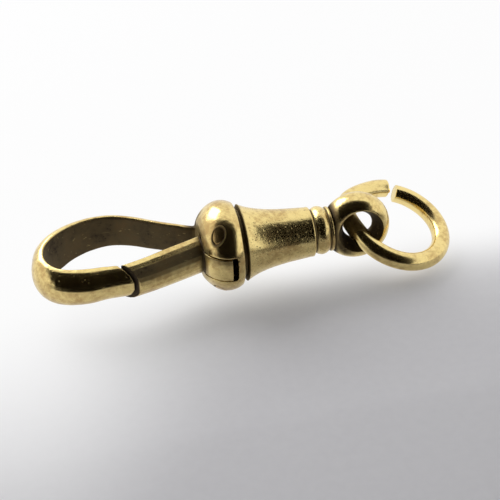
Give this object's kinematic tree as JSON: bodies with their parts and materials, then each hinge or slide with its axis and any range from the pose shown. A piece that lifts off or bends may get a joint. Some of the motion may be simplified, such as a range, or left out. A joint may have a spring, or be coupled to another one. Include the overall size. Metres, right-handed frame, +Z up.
{
  "type": "swivel snap hook",
  "caption": "Small brass swivel snap hook with a sprung hinged gate, a turned barrel, a swivelling eye and a loose open ring.",
  "frame": {"origin": "the hook's seat, on the swivel axis, where a load bears on the inside of the bow", "axes": "+X along the swivel axis from the hook towards the eye; the loop lies in the XY plane with the gate on the -Y side; +Z up, square to the loop"},
  "size_m": [0.0282, 0.0076, 0.006],
  "materials": {
    "aged_brass": "aged and pitted, with brown patina in the hollows",
    "pin_brass": "filed flush",
    "spring_steel": "drawn wire"
  },
  "bodies": {
    "clip": {"hook": "aged_brass", "barrel": "aged_brass", "gate_pin": "pin_brass", "gate_spring": "spring_steel"},
    "gate": {"gate": "aged_brass"},
    "swivel": {"swivel_eye": "aged_brass", "swivel_washer": "pin_brass"},
    "ring": {"jump_ring": "aged_brass"}
  },
  "joints": [
    {"name": "gate_hinge", "type": "hinge", "parent": "clip", "child": "gate", "pos_m": [0.01104, -0.00177, 0], "axis": [0, 0, -1], "range_deg": [0, 18], "stiffness_Nm_per_rad": 0.004, "springref_deg": -28.65, "deforming": ["gate_spring"]},
    {"name": "swivel", "type": "hinge", "parent": "clip", "child": "swivel", "pos_m": [0.019, 0, 0], "axis": [1, 0, 0], "continuous": true},
    {"name": "ring_swing", "type": "hinge", "parent": "swivel", "child": "ring", "pos_m": [0.02075, 0, 0], "axis": [0, -0.9962, 0.0872], "range_deg": [-100, 60]}
  ]
}
